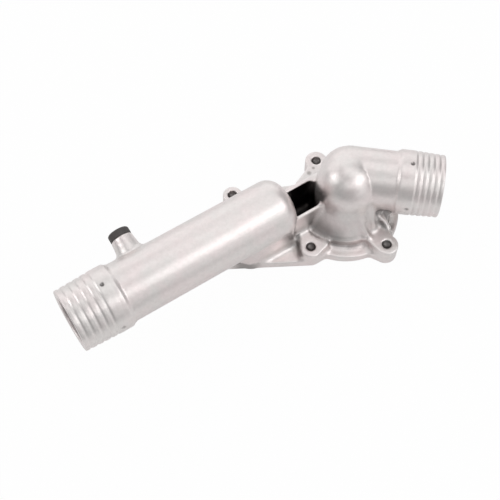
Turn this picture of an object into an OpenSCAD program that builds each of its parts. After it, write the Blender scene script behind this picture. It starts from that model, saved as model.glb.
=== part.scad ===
// Coolant housing of a water-cooled engine: one aluminium die casting that bolts to the
// cylinder head, with a long hose pipe, a short elbowed hose pipe and a capped vent nipple.
// The origin is on the elbow port's axis in the plane of the machined mounting face. Z points
// away from the engine, and X runs along the long pipe from its hose end towards the elbow.

/* [Mounting flange] */
// Thickness of the flange plate
flange_t = 5.5; // [4:0.5:8]
// Radius of the round rim about the elbow port
rim_r = 35; // [33.5:0.5:37]
// Height of the bolt bosses above the mounting face
boss_h = 12; // [10:0.5:16]
// Outer radius of the two side bosses and the near waist boss
lug_r = 7.2; // [6:0.1:8.5]
// Outer radius of the boss on the far side of the long pipe
far_lug_r = 6.2; // [5.8:0.1:8.5]
// Diameter of a bolt hole
bolt_d = 6.6; // [5.5:0.1:8.5]
// Half the spacing of the two bolts beside the elbow
bolt_side_y = 37.7; // [36:0.1:40]
// Offset of those two bolts from the elbow axis along the pipe
bolt_side_x = 4.8; // [2:0.1:8]
// Near waist bolt, along the pipe
bolt_near_x = -35.4; // [-38:0.1:-34]
// Near waist bolt, across the pipe
bolt_near_y = -13.6; // [-17:0.1:-12]
// Far bolt, along the pipe
bolt_far_x = -55.2; // [-60:0.1:-50]
// Far bolt, across the pipe
bolt_far_y = 45; // [42:0.1:49]
// Reach of the flange tail under the long pipe
tail_x = -80; // [-84:0.5:-76]
// Place of the tail's end across the pipe
tail_y = 11.2; // [9:0.1:13]
// Radius of the tail's rounded end
tail_r = 6.3; // [4:0.1:8]

/* [Elbow] */
// Outer radius of the upright elbow chamber and of the round crown on it
chamber_r = 19.2; // [18.6:0.1:20]
// Outer radius of the raised ring at the chamber's foot
ring_r = 27; // [25.5:0.5:29]
// Outer radius of the chamber where its flare meets the ring
flare_r = 22; // [20.5:0.5:25]
// Height of the flare above the ring
flare_h = 18; // [10:0.5:20]
// Height of the short pipe's axis above the mounting face
stub_z = 35; // [33:0.2:38]
// Distance of the short pipe's axis from the elbow axis, to the far side
stub_shift = 6.5; // [3:0.1:8]
// Direction of the short pipe from the X axis, in degrees
stub_angle = -41.6; // [-55:0.1:-30]
// Outer radius of the short pipe
stub_r = 18.2; // [17.4:0.1:18.5]
// Reach of the short pipe from the elbow axis to its hose end
stub_reach = 55.9; // [52:0.1:80]
// Radius of the round buttress above the near side bolt
buttress_r = 5.8; // [4:0.1:6.5]
// Distance of the buttress's foot from the elbow axis
buttress_foot = 24; // [22:0.1:25]
// Lean of the buttress towards the chamber, in degrees
buttress_lean = 18; // [14:0.5:20]
// Thickness of the two gussets beside the buttress
gusset_t = 2; // [1.5:0.1:3]
// Thickness of the web under the short pipe
stub_web_t = 3; // [2:0.1:5]
// Turn of that web from the pipe to the near side, in degrees
stub_web_turn = 8; // [0:0.5:12]

/* [Long pipe] */
// Distance of the long pipe's axis from the elbow axis, across the pipe
pipe_y = 9; // [6:0.1:12]
// Height of the long pipe's axis above the mounting face
pipe_z = 36.8; // [34:0.2:42]
// Outer radius of the long pipe
pipe_r = 18.2; // [17:0.1:18.8]
// Distance of the closed end from the elbow axis
pipe_gap = 39.5; // [37:0.5:42]
// Length of the long pipe from its hose end to its closed end
pipe_len = 145.5; // [120:0.5:220]
// Edge radius of the closed end
pipe_end_r = 10; // [4:0.5:12]

/* [Hose necks] */
// Outer radius of the rib at the hose end
neck_tip_r = 19; // [18.9:0.1:20.5]
// Outer radius of the plain band behind the ribs
band_r = 19.8; // [19:0.1:21]
// Length of the plain band behind the ribs
band_len = 8; // [6:0.5:12]
// Length of the cone from the plain band down to the pipe
shoulder_len = 2; // [1:0.1:3]
// Number of grooves between the ribs
groove_count = 5; // [3:1:6]
// Spacing of the grooves on the long pipe
pipe_groove_pitch = 4.2; // [3.6:0.1:5]
// Spacing of the grooves on the short pipe
stub_groove_pitch = 3.4; // [3.2:0.1:4.2]
// Radius of the round bottom of a groove
groove_r = 1.6; // [1.2:0.1:1.8]
// Depth of a groove
groove_depth = 0.6; // [0.4:0.1:1.2]
// Diameter of the four dimples in the plain band
dimple_d = 2.6; // [1.6:0.1:3.4]
// Depth of those dimples
dimple_depth = 0.9; // [0.5:0.1:1.4]

/* [Walls and ports] */
// Wall thickness of the pipes and the chamber
wall = 3.6; // [2.6:0.1:4.5]
// Wall thickness of the long pipe's closed end
end_wall = 5; // [4:0.5:7]
// Wall thickness around the second port
skirt_wall = 4; // [3:0.1:4.5]
// Radius of the seat for the valve plate in the mounting face
seat_r = 26.5; // [24:0.5:27.5]
// Depth of that seat
seat_depth = 3.6; // [2:0.1:4.4]
// Width of the ledge that the valve plate rests on
seat_ledge = 4; // [2:0.5:6]
// Width of the second port, under the long pipe
port_w = 17; // [14:0.5:18]
// Length of the second port
port_len = 28; // [20:0.5:30]
// Distance of the second port's near end from the closed end of the long pipe
port_inset = 6; // [5:0.5:9]

/* [Waist webs] */
// Inner width of the open pocket between pipe end and elbow
pocket_w = 17.4; // [14:0.2:18.4]
// Floor of the pocket above the flange plate
pocket_floor = 0.5; // [0:0.1:2]
// Thickness of the web on the near side
near_web_t = 1.9; // [1.5:0.1:3]
// Thickness of the web on the far side
far_web_t = 2.6; // [1.5:0.1:4]
// Height of the two webs above the mounting face
web_h = 30; // [24:0.5:34]

/* [Vent nipple] */
// Place of the nipple along the long pipe, from its hose end
nipple_x = 48.8; // [40:0.1:90]
// Upward tilt of the nipple, in degrees
nipple_tilt = 15; // [0:1:40]
// Outer radius of the nipple at its shoulder
nipple_r = 6.6; // [5.8:0.1:7]
// Growth of the nipple's radius from its shoulder to the pipe axis
nipple_taper = 3.2; // [0:0.1:4]
// Reach of the nipple's shoulder from the pipe axis
nipple_reach = 28; // [24:0.5:40]
// Outer radius of the spigot inside the cap
spigot_r = 4.4; // [3.6:0.1:4.6]
// Length of the spigot beyond the shoulder
spigot_len = 3; // [2:0.1:5]
// Radius of the nipple's bore
nipple_bore_r = 2.5; // [1.5:0.1:3]
// Wall of the rubber cap over the end of the spigot
cap_top = 1.8; // [1.5:0.1:3]
// Edge radius of the rubber cap
cap_edge_r = 1.4; // [0.6:0.1:1.5]
// Gap between the cap and the spigot
cap_gap = 0.05; // [0.02:0.01:0.1]

/* [Hidden] */
$fn = 96;
// Overshoot of a cut past the face it opens
over = 1;
// Depth of a bridge's corners inside the posts that it joins
sink = 0.05;

side_far = [bolt_side_x, bolt_side_y];
side_near = [bolt_side_x, -bolt_side_y];
far = [bolt_far_x, bolt_far_y];
near = [bolt_near_x, bolt_near_y];
// Each bolt with the radius of its boss
bolts = [[side_far, lug_r], [far, far_lug_r], [near, lug_r], [side_near, lug_r]];

pipe_start_x = -pipe_gap - pipe_len;
pipe_bore_r = pipe_r - wall;
stub_bore_r = stub_r - wall;
chamber_bore_r = chamber_r - wall;

skirt_w = port_w + 2 * skirt_wall;
skirt_end_x = -pipe_gap - port_inset + skirt_wall;
skirt_len = port_len + 2 * skirt_wall;
port_end_x = -pipe_gap - port_inset;

tail = [tail_x, tail_y];
// Rounded far side of the flange between the far boss and the rim
waist_r = 12;
waist = [-rim_r * 0.6, rim_r * 0.65];
pocket_far_y = pipe_y + pocket_w / 2;
pocket_near_y = pipe_y - pocket_w / 2;
pocket_floor_z = flange_t + pocket_floor;
// Length of the rib at the hose end of a neck
tip_rib = 1;
pipe_rib_len = groove_count * pipe_groove_pitch + tip_rib;
stub_rib_len = groove_count * stub_groove_pitch + tip_rib;
stub_neck_x = stub_reach - stub_rib_len - band_len;

// Four corners where the outer tangents touch two circles
function tangent_corners(p, rp, q, rq) =
    let(line = atan2(q[1] - p[1], q[0] - p[0]), spread = acos((rp - rq) / norm(q - p)))
    [
        p + rp * [cos(line + spread), sin(line + spread)],
        q + rq * [cos(line + spread), sin(line + spread)],
        q + rq * [cos(line - spread), sin(line - spread)],
        p + rp * [cos(line - spread), sin(line - spread)]
    ];

function polar(r, angle) = [r * cos(angle), r * sin(angle)];

module post(p, r, h) {
    translate([p[0], p[1], 0])
        cylinder(r = r, h = h);
}

// Straight-sided bridge between two posts, meeting both along their tangents
module bridge(p, rp, q, rq, h) {
    linear_extrude(h)
        polygon(tangent_corners(p, rp - sink, q, rq - sink));
}

module flange_plate() {
    post([0, 0], rim_r, flange_t);
    post(tail, tail_r, flange_t);
    post(waist, waist_r, flange_t);
    for (b = bolts)
        post(b[0], b[1], flange_t);
    bridge(tail, tail_r, near, lug_r, flange_t);
    bridge(tail, tail_r, far, far_lug_r, flange_t);
    bridge(far, far_lug_r, waist, waist_r, flange_t);
    for (p = [side_near, near])
        bridge(p, lug_r, p / 2, 2 * lug_r, flange_t);
    linear_extrude(flange_t)
        polygon([tail, near, [0, 0], waist, far]);
}

// Bolt bosses, with the bridges that tie them to the chamber's foot and to the webs
module bosses() {
    inward = 0.4;
    tip_r = 1.8;
    near_tip = [near[0] + lug_r / 3, pocket_near_y - near_web_t - tip_r];
    near_heel = near + [lug_r + tip_r, -1.7 * tip_r];
    far_heel = [-ring_r / 2, ring_r];
    far_heel_r = 4.5;
    for (b = bolts)
        post(b[0], b[1], boss_h);
    for (p = [near_tip, near_heel]) {
        post(p, tip_r, boss_h);
        bridge(near, lug_r, p, tip_r, boss_h);
    }
    linear_extrude(boss_h)
        polygon([near, near_tip, near_heel]);
    bridge(side_near, lug_r, side_near * inward, lug_r, boss_h);
    bridge(side_far, lug_r, side_far * inward, lug_r, boss_h);
    post(far_heel, far_heel_r, boss_h);
    bridge(side_far, tip_r, far_heel, far_heel_r, boss_h);
    bridge(far_heel, far_heel_r, [0, ring_r - lug_r], lug_r, boss_h);
}

// Walls that carry the second port from the flange up into the long pipe
module skirt() {
    left = skirt_end_x - skirt_len + skirt_w / 2;
    translate([left, pipe_y - skirt_w / 2, 0])
        cube([skirt_end_x - left, skirt_w, pipe_z]);
    translate([left, pipe_y, 0])
        cylinder(d = skirt_w, h = pipe_z);
}

module webs() {
    start = skirt_end_x - skirt_wall;
    translate([start, pocket_far_y, 0])
        cube([-start, far_web_t, web_h]);
    translate([start, pocket_near_y - near_web_t, 0])
        cube([-start, near_web_t, web_h]);
}

// Foot of the chamber, widening to the ring
module flare() {
    translate([0, 0, boss_h - over])
        cylinder(r1 = flare_r, r2 = chamber_r, h = flare_h + over);
}

// Low parts of the casting, with the open pocket between the two webs cut out of them
module waist_and_flange() {
    difference() {
        union() {
            flange_plate();
            bosses();
            cylinder(r = ring_r, h = boss_h);
            flare();
            skirt();
            webs();
        }
        translate([skirt_end_x, pocket_near_y, pocket_floor_z])
            cube([-skirt_end_x, pocket_w, web_h]);
    }
}

// Upright chamber with a round crown
module chamber() {
    cylinder(r = chamber_r, h = stub_z);
    translate([0, 0, stub_z])
        sphere(r = chamber_r);
}

// Upright gusset plate between two points in plan, sloping from one height to the other
module gusset(p, top, q, foot, t) {
    run = norm(q - p);
    translate([p[0], p[1], 0])
        rotate([90, 0, atan2(q[1] - p[1], q[0] - p[0])])
            translate([0, 0, -t / 2])
                linear_extrude(t)
                    polygon([[0, 0], [run, 0], [run, foot], [0, top]]);
}

// Stiffening of the near side bolt: a leaning buttress, two gussets and a web to the short pipe
module buttress() {
    bolt_angle = atan2(side_near[1], side_near[0]);
    inside_r = chamber_r - wall / 2;
    gusset_top = 0.7 * stub_z;
    left_top = polar(inside_r, bolt_angle - 20);
    left_foot = polar(ring_r + 1, bolt_angle - 9);
    right_top = polar(inside_r, bolt_angle + 21);
    right_foot = polar(rim_r - 2, bolt_angle + 18);
    web_end = polar(stub_neck_x, stub_angle - stub_web_turn);
    rotate([0, 0, bolt_angle + 3])
        translate([buttress_foot, 0, 0])
            rotate([0, -buttress_lean, 0])
                translate([0, 0, flange_t])
                    cylinder(r = buttress_r, h = stub_z - flange_t);
    gusset(left_top, gusset_top, left_foot, boss_h, gusset_t);
    gusset(right_top, gusset_top, right_foot, boss_h, gusset_t);
    gusset([0, 0], stub_z, web_end, stub_z, stub_web_t);
}

// A hose neck from its hose end at zero: tapered ribs, a plain band with dimples, a cone to the pipe
module neck(rib_len, pitch, root_r) {
    taper = (band_r - neck_tip_r) / rib_len;
    difference() {
        union() {
            cylinder(r1 = neck_tip_r, r2 = band_r, h = rib_len);
            translate([0, 0, rib_len])
                cylinder(r = band_r, h = band_len);
            translate([0, 0, rib_len + band_len])
                cylinder(r1 = band_r, r2 = root_r - sink, h = shoulder_len);
        }
        for (i = [0 : groove_count - 1])
            let(z = tip_rib + (i + 0.5) * pitch)
                translate([0, 0, z])
                    rotate_extrude()
                        translate([neck_tip_r + taper * z + groove_r - groove_depth, 0])
                            circle(r = groove_r);
        for (turn = [0, 90, 180, 270])
            rotate([0, 0, turn])
                translate([band_r - dimple_depth, 0, rib_len + dimple_d * 0.6])
                    rotate([0, 90, 0])
                        cylinder(d = dimple_d, h = 2 * dimple_depth);
    }
}

// Local Z along the long pipe from its hose end, local X down
module along_pipe() {
    translate([pipe_start_x, pipe_y, pipe_z])
        rotate([0, 90, 0])
            children();
}

// Local Z along the short pipe from its hose end back to the elbow, local X up
module along_stub() {
    rotate([0, 0, stub_angle])
        translate([stub_reach, stub_shift, stub_z])
            rotate([0, -90, 0])
                children();
}

// Local Z along the vent nipple from the axis of the long pipe
module along_nipple() {
    translate([pipe_start_x + nipple_x, pipe_y, pipe_z])
        rotate([nipple_tilt - 90, 0, 0])
            children();
}

module long_pipe() {
    along_pipe() {
        neck(pipe_rib_len, pipe_groove_pitch, pipe_r);
        cylinder(r = pipe_r, h = pipe_len - pipe_end_r);
        cylinder(r = pipe_r - pipe_end_r, h = pipe_len);
        translate([0, 0, pipe_len - pipe_end_r])
            rotate_extrude()
                intersection() {
                    translate([pipe_r - pipe_end_r, 0])
                        circle(r = pipe_end_r);
                    square([pipe_r, pipe_end_r]);
                }
    }
}

module short_pipe() {
    along_stub() {
        neck(stub_rib_len, stub_groove_pitch, stub_r);
        cylinder(r = stub_r, h = stub_reach);
        translate([0, 0, stub_reach])
            sphere(r = stub_r);
    }
}

module vent_nipple() {
    along_nipple() {
        cylinder(r1 = nipple_r + nipple_taper, r2 = nipple_r, h = nipple_reach);
        cylinder(r = spigot_r, h = nipple_reach + spigot_len);
    }
}

module pipe_bore() {
    along_pipe()
        translate([0, 0, -over])
            cylinder(r = pipe_bore_r, h = pipe_len - end_wall + over);
}

// Long hole through the flange into the long pipe
module second_port() {
    straight = port_len - port_w;
    right = port_end_x - port_w / 2;
    for (x = [right - straight, right])
        translate([x, pipe_y, -over])
            cylinder(d = port_w, h = pipe_z + over);
    translate([right - straight, pipe_y - port_w / 2, -over])
        cube([straight, port_w, pipe_z + over]);
}

module elbow_bore() {
    translate([0, 0, -over])
        cylinder(r = chamber_bore_r, h = stub_z + over);
    translate([0, 0, stub_z])
        sphere(r = chamber_bore_r);
    along_stub() {
        translate([0, 0, -over])
            cylinder(r = stub_bore_r, h = stub_reach + over);
        translate([0, 0, stub_reach])
            sphere(r = stub_bore_r);
    }
}

// Recess for the valve plate, with a cone that leads into the chamber
module valve_seat() {
    translate([0, 0, -over])
        cylinder(r = seat_r, h = seat_depth + over);
    cylinder(r1 = seat_r - seat_ledge, r2 = chamber_bore_r - over, h = seat_depth + boss_h);
}

module bolt_holes() {
    for (b = bolts)
        translate([b[0][0], b[0][1], -over])
            cylinder(d = bolt_d, h = boss_h + 2 * over);
}

module vent_bore() {
    along_nipple()
        cylinder(r = nipple_bore_r, h = nipple_reach + spigot_len + over);
}

module housing() {
    color([0.80, 0.79, 0.78])
        difference() {
            union() {
                waist_and_flange();
                chamber();
                buttress();
                long_pipe();
                short_pipe();
                vent_nipple();
            }
            pipe_bore();
            second_port();
            elbow_bore();
            valve_seat();
            bolt_holes();
            vent_bore();
        }
}

// Rubber blanking cap, flush with the nipple and seated on its shoulder
module nipple_cap() {
    cap_len = spigot_len + cap_top;
    color([0.12, 0.12, 0.12])
        along_nipple()
            translate([0, 0, nipple_reach])
                difference() {
                    union() {
                        cylinder(r = nipple_r, h = cap_len - cap_edge_r);
                        cylinder(r = nipple_r - cap_edge_r, h = cap_len);
                        translate([0, 0, cap_len - cap_edge_r])
                            rotate_extrude()
                                translate([nipple_r - cap_edge_r, 0])
                                    circle(r = cap_edge_r);
                    }
                    translate([0, 0, -over])
                        cylinder(r = spigot_r + cap_gap, h = spigot_len + cap_gap + over);
                }
}

housing();
nipple_cap();
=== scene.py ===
import math

import bpy
import numpy as np
import openvdb
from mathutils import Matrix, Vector


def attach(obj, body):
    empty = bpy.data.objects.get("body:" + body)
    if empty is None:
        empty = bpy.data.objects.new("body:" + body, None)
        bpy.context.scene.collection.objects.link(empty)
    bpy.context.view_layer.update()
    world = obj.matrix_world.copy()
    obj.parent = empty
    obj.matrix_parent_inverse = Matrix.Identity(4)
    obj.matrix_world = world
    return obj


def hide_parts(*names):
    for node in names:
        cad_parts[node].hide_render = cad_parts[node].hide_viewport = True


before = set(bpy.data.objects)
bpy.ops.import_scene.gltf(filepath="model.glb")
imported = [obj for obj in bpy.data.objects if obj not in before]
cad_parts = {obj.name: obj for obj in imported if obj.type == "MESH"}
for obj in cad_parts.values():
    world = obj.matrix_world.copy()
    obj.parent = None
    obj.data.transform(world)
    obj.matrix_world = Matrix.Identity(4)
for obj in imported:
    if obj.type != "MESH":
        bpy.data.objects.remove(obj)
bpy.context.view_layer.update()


# Housing: one aluminium die casting, with the long pipe, the elbow, the short pipe, the vent nipple
# and the flange in one piece. It comes out of the die with rounded inside corners and softened
# edges, and only the mounting face, the hose ends and the bolt holes are cut afterwards.
MM = 0.001            # metres; the sizes below are in mm, and Z is the axis of the elbow's chamber
VOXEL = 0.42          # grid on which the casting is rounded
INNER_FILLET = 3.0    # radius in the inside corners
OUTER_EDGE = 0.55     # radius on the outside edges
SKIN = 0.3            # how far a point may lie off a bore's wall and still belong to it
UP = np.array([0.0, 0.0, 1.0])

# Long pipe along X with a rounded closed end, and the short pipe that leaves the elbow off centre
PIPE_R, PIPE_END_R, BORE_R = 18.2, 10.0, 14.6
PIPE_STRAIGHT, PIPE_BORE = 135.5, 140.5
pipe_mouth = np.array([-185.0, 9.0, 36.8])
pipe_way = np.array([1.0, 0.0, 0.0])
end_axis = pipe_mouth + pipe_way * PIPE_STRAIGHT
STUB_REACH, STUB_OFF, STUB_Z = 55.9, 6.5, 35.0
stub_turn = math.radians(-41.6)
stub_out = np.array([math.cos(stub_turn), math.sin(stub_turn), 0.0])
stub_far = np.array([-math.sin(stub_turn), math.cos(stub_turn), 0.0])
stub_root = stub_far * STUB_OFF + UP * STUB_Z

# Chamber of the elbow with its crown, the flare, ring and rim at its foot, and the valve seat under it
CHAMBER_R, CHAMBER_BORE = 19.2, 15.6
RING_R, RING_TOP = 27.0, 12.0
RIM_R, RIM_TOP = 35.0, 5.5
FLARE_R, FLARE_TOP = 22.0, 30.0
FLARE_LEAN = (FLARE_R - CHAMBER_R) / (FLARE_TOP - RING_TOP)
SEAT_R, SEAT_TOP = 22.5, 15.6
crown = UP * STUB_Z

# Hose necks: tapered ribs, then a plain band with dimples up to where the casting takes over
TIP_R, BAND_R, BAND_LEN = 19.0, 19.8, 5.0
GROOVES, GROOVE_DEPTH, GROOVE_HALF = 5, 0.42, 1.3
DIMPLE_R, DIMPLE_DEPTH, DIMPLE_AT = 1.7, 0.95, 1.56
necks = [
    {"end": pipe_mouth, "way": pipe_way, "pitch": 4.2, "rib_len": 22.0, "bore_len": PIPE_BORE},
    {"end": stub_root + stub_out * STUB_REACH, "way": -stub_out, "pitch": 3.4, "rib_len": 18.0,
     "bore_len": STUB_REACH},
]


def sector(profile, from_turn, to_turn):
    """Points and quads of a four-sided profile of (height, radius) pairs, turned about the chamber's axis."""
    step = 1.5
    turns = np.radians(np.linspace(from_turn, to_turn, 1 + int((to_turn - from_turn) / step)))
    z, r = np.array(profile).T
    heights = np.outer(np.ones(len(turns)), z)
    points = np.stack([np.outer(np.cos(turns), r), np.outer(np.sin(turns), r), heights], -1)
    i, j = np.meshgrid(np.arange(len(turns) - 1), np.arange(4), indexing="ij")
    k = (j + 1) % 4
    quads = np.stack([i * 4 + j, i * 4 + k, i * 4 + 4 + k, i * 4 + 4 + j], -1).reshape(-1, 4)
    first = np.arange(4)
    return points.reshape(-1, 3), np.vstack([quads, first, first + 4 * len(turns) - 4])


def bar(top, foot, out, thick, proud, deep):
    """Points and quads of a straight rib from top to foot, proud along out and reaching deep inwards."""
    side = np.cross(foot - top, out)
    side *= 0.5 * thick / np.linalg.norm(side)
    ring = [side + out * proud, out * proud - side, -side - out * deep, side - out * deep]
    quads = [[j, (j + 1) % 4, 4 + (j + 1) % 4, 4 + j] for j in range(4)]
    points = [end + corner for end in (top, foot) for corner in ring]
    return np.array(points), np.array(quads + [[0, 1, 2, 3], [4, 5, 6, 7]])


# Forms of the casting that the solid lacks
added_forms = [
    # Foot of the chamber wall inside the pocket, where the solid has a narrow slit above the valve seat
    sector([(5.0, 20.4), (9.0, 18.7), (9.8, 20.0), (5.6, 21.9)], 100, 195),
    # Apron in front of the chamber, from its wall down to the edge of the ring
    sector([(11.0, 19.0), (11.0, 26.3), (29.0, 19.4), (29.0, 18.0)], 186, 264),
    # Edge of the left gusset, from the chamber's wall down to the near bolt
    bar(top=np.array([-5.2, -18.3, 25.4]), foot=np.array([-1.1, -27.8, 11.0]),
        out=np.array([-0.35, -0.75, 0.56]), thick=1.6, proud=1.7, deep=3.0),
]


def rounded_field(node):
    """Distance field of the casting with its inside corners filled and its outside edges rolled over."""
    mesh = node.data
    mesh.calc_loop_triangles()
    flat_points = np.empty(len(mesh.vertices) * 3, np.float32)
    mesh.vertices.foreach_get("co", flat_points)
    corners = np.empty(len(mesh.loop_triangles) * 3, np.int32)
    mesh.loop_triangles.foreach_get("vertices", corners)
    points = flat_points.reshape(-1, 3) / np.float32(MM)
    quads = np.empty((0, 4), int)
    for form_points, form_quads in added_forms:
        quads = np.vstack([quads, form_quads + len(points)])
        points = np.vstack([points, form_points])
    cells = openvdb.createLinearTransform(voxelSize=VOXEL)

    def field(shape, outward, inward):
        return openvdb.FloatGrid.createLevelSetFromPolygons(
            shape[0], triangles=shape[1], quads=shape[2], transform=cells,
            exBandWidth=outward / VOXEL + 3, inBandWidth=inward / VOXEL + 3)

    sharp = points.astype(np.float32), corners.reshape(-1, 3).astype(np.uint32), quads.astype(np.uint32)
    grown = field(sharp, INNER_FILLET, 1.0).convertToPolygons(INNER_FILLET, 0.0)
    depth = INNER_FILLET + OUTER_EDGE
    shrunk = field(grown, 1.0, depth).convertToPolygons(-depth, 0.0)
    return field(shrunk, OUTER_EDGE + 2.0, 2.0)


def sample(values, low, points):
    """Values of the dense field at points in mm, mixed from the eight cells around each."""
    q = points / VOXEL - low
    cell = np.clip(np.floor(q).astype(int), 0, np.array(values.shape) - 2)
    w = q - cell
    out = np.zeros(len(points))
    for dx in (0, 1):
        for dy in (0, 1):
            for dz in (0, 1):
                share = np.abs(1 - dx - w[:, 0]) * np.abs(1 - dy - w[:, 1]) * np.abs(1 - dz - w[:, 2])
                out += share * values[cell[:, 0] + dx, cell[:, 1] + dy, cell[:, 2] + dz]
    return out


def from_neck(points, neck):
    """Distance of each point along a neck's axis, from the hose end inwards, and away from the axis."""
    along = (points - neck["end"]) @ neck["way"]
    return along, np.linalg.norm(points - neck["end"] - np.outer(along, neck["way"]), axis=1)


def casting_body(node):
    """Points, normals, curvature and triangles of the rounded casting, cut off where the necks join it."""
    grid = rounded_field(node)
    points, tris, quads = grid.convertToPolygons(OUTER_EDGE, 0.04)
    points = points.astype(float)
    faces = np.vstack([tris.reshape(-1, 3), quads[:, [0, 1, 2]], quads[:, [0, 2, 3]]]).astype(int)
    low, high = (np.array(c) for c in grid.evalActiveVoxelBoundingBox())
    values = np.empty(high - low + 1, np.float32)
    grid.copyToArray(values, ijk=tuple(int(v) for v in low))
    step = 0.6 * VOXEL
    slopes = []
    bend = -6 * sample(values, low, points)
    for axis in np.eye(3):
        ahead, behind = sample(values, low, points + axis * step), sample(values, low, points - axis * step)
        slopes.append(ahead - behind)
        bend += ahead + behind
    normals = np.stack(slopes, 1)
    normals /= np.maximum(np.linalg.norm(normals, axis=1, keepdims=True), 1e-9)
    bend /= step * step
    for neck in necks:
        join = neck["rib_len"] + BAND_LEN
        along, off = from_neck(points, neck)
        outside = (along < join) & (off < BAND_R + 3)
        faces = faces[~outside[faces].all(1)]
        points[outside] += np.outer((join - along)[outside], neck["way"])
    used = np.unique(faces)
    renumber = np.zeros(len(points), int)
    renumber[used] = np.arange(len(used))
    points, normals, bend, faces = points[used], normals[used], bend[used], renumber[faces]
    a, b, c = (points[faces[:, i]] for i in range(3))
    if np.sum(np.cross(b - a, c - a) * normals[faces[:, 0]]) < 0:
        faces = faces[:, ::-1]
    return points, normals, bend, faces


def true_round(points, normals, centres, radius, within):
    """Normals with those on one round form turned to point straight away from its centres."""
    out = points - centres
    far = np.linalg.norm(out, axis=1)
    ideal = out / np.maximum(far, 1e-9)[:, None]
    agree = np.sum(ideal * normals, axis=1)
    share = (np.clip((agree - 0.93) / 0.04, 0, 1) * (np.abs(far - radius) < 0.4) * within)[:, None]
    mixed = normals * (1 - share) + ideal * share
    return mixed / np.maximum(np.linalg.norm(mixed, axis=1, keepdims=True), 1e-9)


def turned(profile, angles, origin, way, dents=()):
    """Points and quads of a profile of (distance, radius) pairs turned about an axis, with round dents."""
    side = np.cross(way, UP)
    side /= np.linalg.norm(side)
    top = np.cross(side, way)
    s, r = np.array(profile).T
    radius = np.repeat(r[:, None], len(angles), 1)
    for place, turn, wide, deep in dents:
        swing = (angles - turn + math.pi) % (2 * math.pi) - math.pi
        off = np.hypot(s[:, None] - place, radius * swing[None, :])
        on_band = (r > BAND_R - 0.5)[:, None]
        hollow = deep * 0.5 * (1 + np.cos(math.pi * np.minimum(off / wide, 1)))
        radius = radius - np.where(on_band & (off < wide), hollow, 0)
    spokes = np.cos(angles)[:, None] * top + np.sin(angles)[:, None] * side
    points = origin + s[:, None, None] * way + radius[:, :, None] * spokes[None]
    rows, cols = len(s), len(angles)
    i, j = np.meshgrid(np.arange(rows - 1), np.arange(cols), indexing="ij")
    k = (j + 1) % cols
    quads = np.stack([i * cols + j, i * cols + k, (i + 1) * cols + k, (i + 1) * cols + j], -1)
    return points.reshape(-1, 3), quads.reshape(-1, 4)


def smooth_normals(points, quads):
    """One normal per point, the mean of those of the quads around it."""
    a, b, c, d = (points[quads[:, i]] for i in range(4))
    flat = np.cross(c - a, d - b)
    total = np.zeros_like(points)
    for i in range(4):
        np.add.at(total, quads[:, i], flat)
    return total / np.maximum(np.linalg.norm(total, axis=1, keepdims=True), 1e-12)


def hose_neck(neck):
    """Tapered ribs for the hose, the band with its four dimples, the cut end and the start of the bore."""
    end, way, pitch, rib_len = (neck[key] for key in ("end", "way", "pitch", "rib_len"))

    def outer(s):
        r = TIP_R + (BAND_R - TIP_R) * min(s / rib_len, 1.0)
        for i in range(GROOVES):
            u = abs(s - 1.0 - (i + 0.5) * pitch) / GROOVE_HALF
            if u < 1:
                r -= GROOVE_DEPTH * 0.5 * (1 + math.cos(math.pi * u))
        return r

    bevel = 0.5
    join = rib_len + BAND_LEN
    dimpled = 3.3                                   # part of the band that needs close rows for the dimples
    tucked, inset = (join + 0.05, join + 0.6), 0.06  # both ends of the skin slip under the casting's own
    profile = [(s, BORE_R + inset) for s in reversed(tucked)]
    profile += [(s, BORE_R) for s in (join, 8.0, 1.0)]
    profile += [(0.4, BORE_R + 0.1), (0.1, BORE_R + 0.4), (0.0, BORE_R + 0.8)]
    profile += [(0.0, TIP_R - 2.2), (0.0, TIP_R - bevel - 0.3)]
    for turn in np.linspace(0, 90, 5):
        a = math.radians(turn)
        profile.append((bevel * (1 - math.cos(a)), TIP_R - bevel + bevel * math.sin(a)))
    profile += [(s, outer(s)) for s in np.arange(bevel + 0.2, rib_len, 0.32)]
    profile += [(s, outer(s)) for s in np.arange(rib_len, rib_len + dimpled, 0.24)]
    profile.append((join, BAND_R))
    profile += [(s, BAND_R - inset) for s in tucked]
    quarter = np.concatenate([np.linspace(-5, 5, 14)[:-1], np.linspace(5, 85, 34)[:-1]])
    angles = np.radians(np.concatenate([quarter + 90 * k for k in range(4)]))
    dents = [(rib_len + DIMPLE_AT, math.radians(90 * k), DIMPLE_R, DIMPLE_DEPTH) for k in range(4)]
    points, quads = turned(profile, angles, end, way, dents)
    normals = smooth_normals(points, quads)
    out = points - end - np.outer((points - end) @ way, way)
    on_band = len(angles) * (len(profile) - 8)
    if np.sum(normals[on_band] * out[on_band]) < 0:
        quads, normals = quads[:, ::-1], -normals
    return points, normals, quads


def piece(name, points, normals, faces, layers):
    """A mesh object from points in mm, with its own normals and one number per point for each layer."""
    mesh = bpy.data.meshes.new(name)
    mesh.from_pydata((points * MM).tolist(), [], faces)
    for layer, numbers in layers.items():
        mesh.attributes.new(layer, "FLOAT", "POINT").data.foreach_set("value", numbers.astype(np.float32))
    mesh.polygons.foreach_set("use_smooth", np.ones(len(mesh.polygons), bool))
    mesh.normals_split_custom_set_from_vertices(normals.tolist())
    obj = bpy.data.objects.new(name, mesh)
    bpy.context.scene.collection.objects.link(obj)
    return obj


def end_centres(points):
    """For each point its nearest centre on the ring about which the long pipe's closed end is rounded."""
    spoke = (points - end_axis) * (1 - pipe_way)
    length = np.maximum(np.linalg.norm(spoke, axis=1, keepdims=True), 1e-9)
    return end_axis + spoke * (PIPE_R - PIPE_END_R) / length


points, normals, bend, tris = casting_body(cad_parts["housing"])
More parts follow.
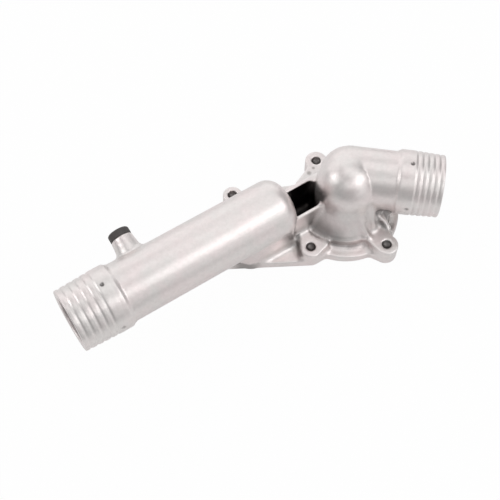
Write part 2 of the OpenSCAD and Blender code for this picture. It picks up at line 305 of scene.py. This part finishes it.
# The CAD mesh is flat between its points, so the large round forms get the normals of the true shape
x, y, z = points.T
stub_run = (points - stub_root) @ stub_out
pipe_axis = pipe_mouth + np.outer(x - pipe_mouth[0], pipe_way)
stub_axis = stub_root + np.outer(stub_run, stub_out)
chamber_axis = np.outer(z, UP)
flare_at = CHAMBER_R + (FLARE_TOP - z) * FLARE_LEAN
for centres, radius, within in [
        (pipe_axis, PIPE_R, x < end_axis[0]),
        (end_centres(points), PIPE_END_R, x > end_axis[0]),
        (stub_axis, PIPE_R, stub_run > 0),
        (stub_root, PIPE_R, stub_run < 0),
        (crown, CHAMBER_R, z > STUB_Z),
        (chamber_axis, CHAMBER_R, (z > FLARE_TOP) & (z < STUB_Z)),
        (np.outer(z - flare_at * FLARE_LEAN, UP), flare_at * math.hypot(1, FLARE_LEAN),
         (z > RING_TOP) & (z < FLARE_TOP)),
        (chamber_axis, RING_R, z < RING_TOP),
        (chamber_axis, RIM_R, z < RIM_TOP)]:
    normals = true_round(points, normals, centres, radius, within)

faces = tris.tolist()
for neck in necks:
    neck_points, neck_normals, neck_quads = hose_neck(neck)
    faces += (neck_quads + len(points)).tolist()
    points = np.vstack([points, neck_points])
    normals = np.vstack([normals, neck_normals])
    bend = np.concatenate([bend, np.zeros(len(neck_points))])


def ramp(value, start, end):
    """0 at the start and before it, 1 at the end and past it, even between the two."""
    return np.clip((value - start) / (end - start), 0, 1)


def darken(amount):
    """Raises the layer of painted shade to an amount per point, from 0 for bare metal to 1 for near black
    painted shade.
    """
    np.maximum(painted_shade, amount, out=painted_shade)


def away_from(spot):
    """Distance of each point from one spot."""
    return np.linalg.norm(points - spot, axis=1)


x, y, z = points.T
from_axis = np.hypot(x, y)
turn_about = np.degrees(np.arctan2(y, x)) % 360

# Painted shade deep in the pocket between pipe and elbow, lighter high up on the chamber's wall, on the
# pipe's end and far left
in_pocket = (x > -42.5) & (x < -13) & (y > 0.1) & (y < 17.9) & (z < 29.0)
wall_at = CHAMBER_R + np.clip(FLARE_TOP - z, 0, FLARE_TOP - RING_TOP) * FLARE_LEAN
painted_shade = 0.96 * in_pocket * np.maximum(ramp(from_axis - wall_at, 1.5, 5.5), ramp(z, 26, 15))
on_pipe_end = np.abs(np.linalg.norm(points - end_centres(points), axis=1) - PIPE_END_R) < 0.6
painted_shade = np.where(on_pipe_end, np.minimum(painted_shade, ramp(z, 24, 18)), painted_shade)
# Painted shade on the near web of the pocket, and faint painted shade on the front of the chamber
darken(0.22 * ((x > -42) & (x < -18) & (y > -3) & (y < -1) & (z > 11) & (z < 28.5)))
front_shade = ramp(turn_about, 175, 195) * ramp(turn_about, 295, 280) * ramp(z, 36, 30)
darken(0.11 * front_shade * ((from_axis > 18) & (from_axis < RING_R) & (z > RING_TOP)))
painted_shade = np.where((y > 15.5) & (z > 16), painted_shade * ramp(x, -32, -30.5), painted_shade)
# Painted shade in the bolt holes
for bolt_x, bolt_y in [(4.8, 37.7), (-55.2, 45.0), (-35.4, -13.6), (4.8, -37.7)]:
    darken(0.78 * ((np.hypot(x - bolt_x, y - bolt_y) < 3.6) & (z < 11.6)))
# Painted shade in the narrow slot between the near bolt boss and the pipe, followed along the camera's line
# of sight
slot_from, slot_way = np.array([-35.7, 0.1]), np.array([-7.3, -13.3])
level = np.stack([x + 0.367 * (z - 8), y + 0.467 * (z - 8)], 1) - slot_from
share = np.clip(level @ slot_way / (slot_way @ slot_way), 0, 1)
from_slot = np.linalg.norm(level - np.outer(share, slot_way), axis=1)
darken((0.8 - 0.35 * share) * ramp(from_slot, 2.16, 0.96) * (z < 13))
# Painted shade on the left foot of the chamber, in the groove below the ring, in the corner beside the boss
# and on the tail of the flange
ledge = ramp(turn_about, 178, 184) * ramp(turn_about, 242, 224) * ramp(z, 25, 16)
darken(0.45 * ledge * ramp(from_axis, 19.5, 20.5) * ramp(from_axis, 28.8, 27.8))
groove = ramp(turn_about, 234, 240) * ramp(turn_about, 258, 250)
darken(0.4 * groove * ramp(np.abs(from_axis - 28.2), 1.5, 0.5) * (z < 9))
darken(0.5 * ramp(away_from(np.array([-24.6, -16.7, 11.0])), 2.2, 1.2))
darken(0.5 * ramp(np.abs(x + 73.5), 8.8, 3.3) * ((z < 7) & (y < 10)))
# Painted shade in the hollow corners between the buttress and the web under the short pipe
hollow = ramp(turn_about, 287, 291) * ramp(turn_about, 310, 306) * (z < 24)
darken(0.6 * hollow * ramp(from_axis, 19, 22) * ramp(from_axis, 36, 32) * ramp(bend, 0.35, -0.25))
# Painted shade in the bores of both pipes, the chamber with its valve seat, and the dimples
seat = (SEAT_R - CHAMBER_BORE) * ramp(z, SEAT_TOP, 0)
darken(0.85 * ((from_axis < CHAMBER_BORE + SKIN + seat) & (z < STUB_Z)))
darken(0.85 * (away_from(crown) < CHAMBER_BORE + SKIN))
darken(0.85 * (away_from(stub_root) < BORE_R + SKIN))
for neck in necks:
    along, off = from_neck(points, neck)
    darken(0.6 * ((off < BORE_R + SKIN) & (along > 4) & (along < neck["bore_len"] + 0.2)))
    side = np.cross(neck["way"], UP)
    for spoke in (UP, side, -UP, -side):
        dimple = neck["end"] + neck["way"] * (neck["rib_len"] + DIMPLE_AT) + spoke * (BAND_R - 0.4)
        in_sight = spoke[2] > -0.5 and spoke @ stub_far > -0.5
        darken((0.7 if in_sight else 0.3) * ramp(away_from(dimple), DIMPLE_R, 0.5 * DIMPLE_R))

# The layers carry the amount of painted shade per point and the bend of the surface
housing = piece("housing_casting", points, normals, faces, {"painted_shade": painted_shade, "bend": np.clip(bend, -1.5, 1.5)})


def linear(code):
    """A hex sRGB colour as linear red, green, blue and alpha."""
    parts = [int(code[i:i + 2], 16) / 255 for i in (1, 3, 5)]
    return [c / 12.92 if c <= 0.04045 else ((c + 0.055) / 1.055) ** 2.4 for c in parts] + [1.0]


def add_node(tree, kind, inputs, **settings):
    """Adds one node, sets it up, and fills or links its inputs."""
    node = tree.nodes.new(kind)
    for name, value in settings.items():
        setattr(node, name, value)
    for name, value in inputs.items():
        if isinstance(value, bpy.types.NodeSocket):
            tree.links.new(value, node.inputs[name])
        else:
            node.inputs[name].default_value = value
    return node


# Die-cast aluminium, tumbled after casting: a pale satin metal with a fine sandy grain of one or two
# millimetres, faint pink and grey clouds one or two centimetres wide, brighter rubbed edges, painted shade
# in recesses and inside corners, and painted shade for two small blow holes in the flange beside the far
# bolt.
CLOUD, GRAIN, MOTTLE = 16 * MM, 1.6 * MM, 2.4 * MM
cast = bpy.data.materials.new("die_cast_aluminium_tumbled")
cast.use_nodes = True
tree = cast.node_tree
tree.nodes.clear()
place = add_node(tree, "ShaderNodeTexCoord", {}).outputs["Object"]
clouds = add_node(tree, "ShaderNodeTexNoise", {
    "Vector": place, "Scale": 1 / CLOUD, "Detail": 2.5, "Roughness": 0.55})
grain = add_node(tree, "ShaderNodeTexNoise", {
    "Vector": place, "Scale": 1 / GRAIN, "Detail": 3.0, "Roughness": 0.65})
mottle = add_node(tree, "ShaderNodeTexNoise", {
    "Vector": place, "Scale": 1 / MOTTLE, "Detail": 3.0, "Roughness": 0.7})
bend_layer = add_node(tree, "ShaderNodeAttribute", {}, attribute_name="bend")
painted_shade_layer = add_node(tree, "ShaderNodeAttribute", {}, attribute_name="painted_shade")
cloud = add_node(tree, "ShaderNodeMapRange", {
    "Value": clouds.outputs["Fac"], "From Min": 0.35, "From Max": 0.65})
tone = add_node(tree, "ShaderNodeMix", {
    "Factor": cloud.outputs["Result"], 6: linear("#EEE4E3"), 7: linear("#E8E4E2")}, data_type="RGBA")
sandy = add_node(tree, "ShaderNodeMapRange", {
    "Value": mottle.outputs["Fac"], "From Min": 0.35, "From Max": 0.65, "To Min": 0.0, "To Max": 0.16})
speckled = add_node(tree, "ShaderNodeMix", {
    "Factor": sandy.outputs["Result"], 6: tone.outputs[2], 7: linear("#BDB6B4")}, data_type="RGBA")
edge = add_node(tree, "ShaderNodeMapRange", {
    "Value": bend_layer.outputs["Fac"], "From Min": 0.15, "From Max": 1.2, "To Min": 0.0, "To Max": 0.22})
rubbed = add_node(tree, "ShaderNodeMix", {
    "Factor": edge.outputs["Result"], 6: speckled.outputs[2], 7: linear("#F3F0EE")}, data_type="RGBA")
# Painted shade: inside corners, where the bend is concave, mixed towards dark grey
corner = add_node(tree, "ShaderNodeMapRange", {
    "Value": bend_layer.outputs["Fac"], "From Min": -0.2, "From Max": -0.8, "To Min": 0.0, "To Max": 0.25})
corner_shaded = add_node(tree, "ShaderNodeMix", {
    "Factor": corner.outputs["Result"], 6: rubbed.outputs[2], 7: linear("#8F8987")}, data_type="RGBA")
pitted = corner_shaded.outputs[2]
# Painted shade: two darker spots stand in for the shade inside two small blow holes that the mesh lacks
for blow_hole, wide in [((-0.0049, 0.0320, 0.012), 1.5 * MM), ((-0.0003, 0.0337, 0.012), 1.1 * MM)]:
    away = add_node(tree, "ShaderNodeVectorMath", {0: place, 1: blow_hole}, operation="DISTANCE")
    inside = add_node(tree, "ShaderNodeMapRange", {
        "Value": away.outputs["Value"], "From Min": 0.5 * wide, "From Max": 1.3 * wide,
        "To Min": 0.5, "To Max": 0.0})
    pitted = add_node(tree, "ShaderNodeMix", {
        "Factor": inside.outputs["Result"], 6: pitted, 7: linear("#6B6460")}, data_type="RGBA").outputs[2]
# Painted shade: mixed towards near black by the per-point layer of painted shade
colour = add_node(tree, "ShaderNodeMix", {
    "Factor": painted_shade_layer.outputs["Fac"], 6: pitted, 7: linear("#221F1E")}, data_type="RGBA")
rough = add_node(tree, "ShaderNodeMapRange", {
    "Value": grain.outputs["Fac"], "From Min": 0.3, "From Max": 0.7, "To Min": 0.34, "To Max": 0.46})
relief = add_node(tree, "ShaderNodeBump", {
    "Height": grain.outputs["Fac"], "Distance": 0.12 * MM, "Strength": 0.5})
metal = add_node(tree, "ShaderNodeBsdfPrincipled", {
    "Base Color": colour.outputs[2], "Metallic": 1.0, "Roughness": rough.outputs["Result"],
    "Normal": relief.outputs["Normal"]})
add_node(tree, "ShaderNodeOutputMaterial", {"Surface": metal.outputs["BSDF"]})
housing.data.materials.append(cast)
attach(housing, "root")
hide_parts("housing")


# Nipple cap: a moulded rubber blanking cap, pushed over the spigot of the vent nipple until it sits
# on the shoulder. It is as wide as the nipple there and has a soft rolled edge around its flat top.
NIPPLE_AT = 48.8      # from the long pipe's hose end
CAP_R, CAP_FROM, CAP_LEN, CAP_EDGE = 6.6, 28.0, 4.8, 1.4
nipple_tilt = math.radians(15)
nipple_way = np.array([0.0, math.cos(nipple_tilt), math.sin(nipple_tilt)])
nipple_root = pipe_mouth + pipe_way * NIPPLE_AT
cap_profile = [(0.05, 4.5), (0.05, CAP_R - 0.25), (0.12, CAP_R - 0.08), (0.3, CAP_R)]
cap_profile += [(s, CAP_R) for s in (0.8, 1.4, 2.0, 2.6, 3.2)]
for turn in np.linspace(0, 90, 9):
    a = math.radians(turn)
    cap_profile.append((CAP_LEN + CAP_EDGE * (math.sin(a) - 1), CAP_R + CAP_EDGE * (math.cos(a) - 1)))
cap_profile += [(CAP_LEN, r) for r in (4.2, 3.0, 1.6, 0.4, 0.01)]
cap_angles = np.radians(np.arange(0, 360, 4.0))
cap_points, cap_quads = turned(cap_profile, cap_angles, nipple_root + nipple_way * CAP_FROM, nipple_way)
cap_normals = smooth_normals(cap_points, cap_quads)
if np.sum(cap_normals[-1] * nipple_way) < 0:
    cap_quads, cap_normals = cap_quads[:, ::-1], -cap_normals
cap = piece("nipple_cap_rubber", cap_points, cap_normals, cap_quads.tolist(), {})

# Moulded black rubber: dull and nearly black, with a faint dusty bloom and the fine pitting of the mould.
BLOOM, PITTING = 3 * MM, 0.6 * MM
rubber = bpy.data.materials.new("moulded_black_rubber")
rubber.use_nodes = True
tree = rubber.node_tree
tree.nodes.clear()
place = add_node(tree, "ShaderNodeTexCoord", {}).outputs["Object"]
bloom = add_node(tree, "ShaderNodeTexNoise", {"Vector": place, "Scale": 1 / BLOOM, "Detail": 3.0})
pitting = add_node(tree, "ShaderNodeTexNoise", {"Vector": place, "Scale": 1 / PITTING, "Detail": 2.0})
dusty = add_node(tree, "ShaderNodeMix", {
    "Factor": bloom.outputs["Fac"], 6: linear("#3E3B3A"), 7: linear("#575251")}, data_type="RGBA")
dull = add_node(tree, "ShaderNodeMapRange", {"Value": bloom.outputs["Fac"], "To Min": 0.5, "To Max": 0.72})
relief = add_node(tree, "ShaderNodeBump", {
    "Height": pitting.outputs["Fac"], "Distance": 0.05 * MM, "Strength": 0.4})
skin = add_node(tree, "ShaderNodeBsdfPrincipled", {
    "Base Color": dusty.outputs[2], "Roughness": dull.outputs["Result"], "IOR": 1.5,
    "Normal": relief.outputs["Normal"]})
add_node(tree, "ShaderNodeOutputMaterial", {"Surface": skin.outputs["BSDF"]})
cap.data.materials.append(rubber)
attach(cap, "root")
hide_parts("nipple_cap")


# Studio: a white paper floor that ends below the camera and runs out of sight behind, soft boxes to the
# right and to the left, weaker panels all around, and the camera of the photograph.
target = Vector((-0.064377, 0.010518, 0.0))
eye = Vector((-0.218309, -0.225743, 0.488408))
toward = Vector((eye.x - target.x, eye.y - target.y, 0.0)).normalized()
across = Vector((-toward.y, toward.x, 0.0))
FLOOR_FRONT, FLOOR_BACK, FLOOR_SIDE, FLOOR_DROP = 0.19, 3.0, 3.0, 0.0004
floor_corners = [
    (FLOOR_FRONT, -FLOOR_SIDE), (FLOOR_FRONT, FLOOR_SIDE),
    (-FLOOR_BACK, FLOOR_SIDE), (-FLOOR_BACK, -FLOOR_SIDE)]
floor_mesh = bpy.data.meshes.new("floor")
floor_mesh.from_pydata(
    [target + toward * t + across * a - Vector((0.0, 0.0, FLOOR_DROP)) for t, a in floor_corners],
    [], [(0, 1, 2, 3)])
floor = bpy.data.objects.new("floor", floor_mesh)
bpy.context.scene.collection.objects.link(floor)

# White backdrop paper: matt and even. The camera sees it burnt out to white, as in the photograph, and the
# metal mirrors a part of that glow.
paper = bpy.data.materials.new("white_backdrop_paper")
paper.use_nodes = True
tree = paper.node_tree
tree.nodes.clear()
rays = add_node(tree, "ShaderNodeLightPath", {})
seen = add_node(tree, "ShaderNodeMath", {0: rays.outputs["Is Camera Ray"], 1: 0.97}, operation="MULTIPLY")
mirrored = add_node(tree, "ShaderNodeMath", {0: rays.outputs["Is Glossy Ray"], 1: 0.3}, operation="MULTIPLY")
glowing = add_node(tree, "ShaderNodeMath", {
    0: seen.outputs["Value"], 1: mirrored.outputs["Value"]}, operation="MAXIMUM")
matt = add_node(tree, "ShaderNodeBsdfDiffuse", {"Color": linear("#EDEDED")})
glow = add_node(tree, "ShaderNodeEmission", {"Color": linear("#FFFFFF"), "Strength": 1.0})
both = add_node(tree, "ShaderNodeMixShader", {
    0: glowing.outputs["Value"], 1: matt.outputs["BSDF"], 2: glow.outputs["Emission"]})
add_node(tree, "ShaderNodeOutputMaterial", {"Surface": both.outputs["Shader"]})
floor_mesh.materials.append(paper)

# Walls of the studio: white to the camera, dim to everything else
world = bpy.data.worlds.new("studio")
world.use_nodes = True
tree = world.node_tree
tree.nodes.clear()
rays = add_node(tree, "ShaderNodeLightPath", {})
dim = add_node(tree, "ShaderNodeBackground", {"Color": linear("#FFFFFF"), "Strength": 0.42})
white = add_node(tree, "ShaderNodeBackground", {"Color": linear("#FFFFFF"), "Strength": 1.0})
sky = add_node(tree, "ShaderNodeMixShader", {
    0: rays.outputs["Is Camera Ray"], 1: dim.outputs["Background"], 2: white.outputs["Background"]})
add_node(tree, "ShaderNodeOutputWorld", {"Surface": sky.outputs["Shader"]})
bpy.context.scene.world = world

# Lamps: name, place, width and height in metres, brightness of the surface
for name, spot, wide, high, brightness in [
        ("right_box", (0.38, -0.56, 0.80), 0.88, 0.58, 1.6),
        ("left_box", (-0.68, 0.43, 0.60), 0.50, 0.45, 1.9),
        ("overhead_panel", (0.15, 0.20, 1.10), 0.9, 0.8, 0.74),
        ("back_panel", (0.30, 1.05, 0.55), 2.2, 1.1, 0.68),
        ("front_panel", (0.25, -0.95, 0.25), 0.9, 0.45, 0.5),
        ("camera_panel", (-0.48, -0.66, 1.05), 0.9, 0.55, 0.72)]:
    lamp = bpy.data.lights.new(name, "AREA")
    lamp.shape, lamp.size, lamp.size_y = "RECTANGLE", wide, high
    lamp.energy = brightness * wide * high * math.pi
    box = bpy.data.objects.new(name, lamp)
    box.location = spot
    box.rotation_euler = (target - box.location).to_track_quat("-Z", "Y").to_euler()
    bpy.context.scene.collection.objects.link(box)

# Camera, fitted to the bolt holes, pipes and necks of the photograph
lens = bpy.data.cameras.new("camera")
lens.sensor_width, lens.sensor_height, lens.sensor_fit = 36.0, 36.0, "HORIZONTAL"
lens.lens = 64.57
lens.clip_start, lens.clip_end = 0.01, 20.0
camera = bpy.data.objects.new("camera", lens)
camera.location = eye
camera.rotation_euler = (target - camera.location).to_track_quat("-Z", "Y").to_euler()
bpy.context.scene.collection.objects.link(camera)
bpy.context.scene.camera = camera
bpy.context.scene.view_settings.view_transform = "Standard"
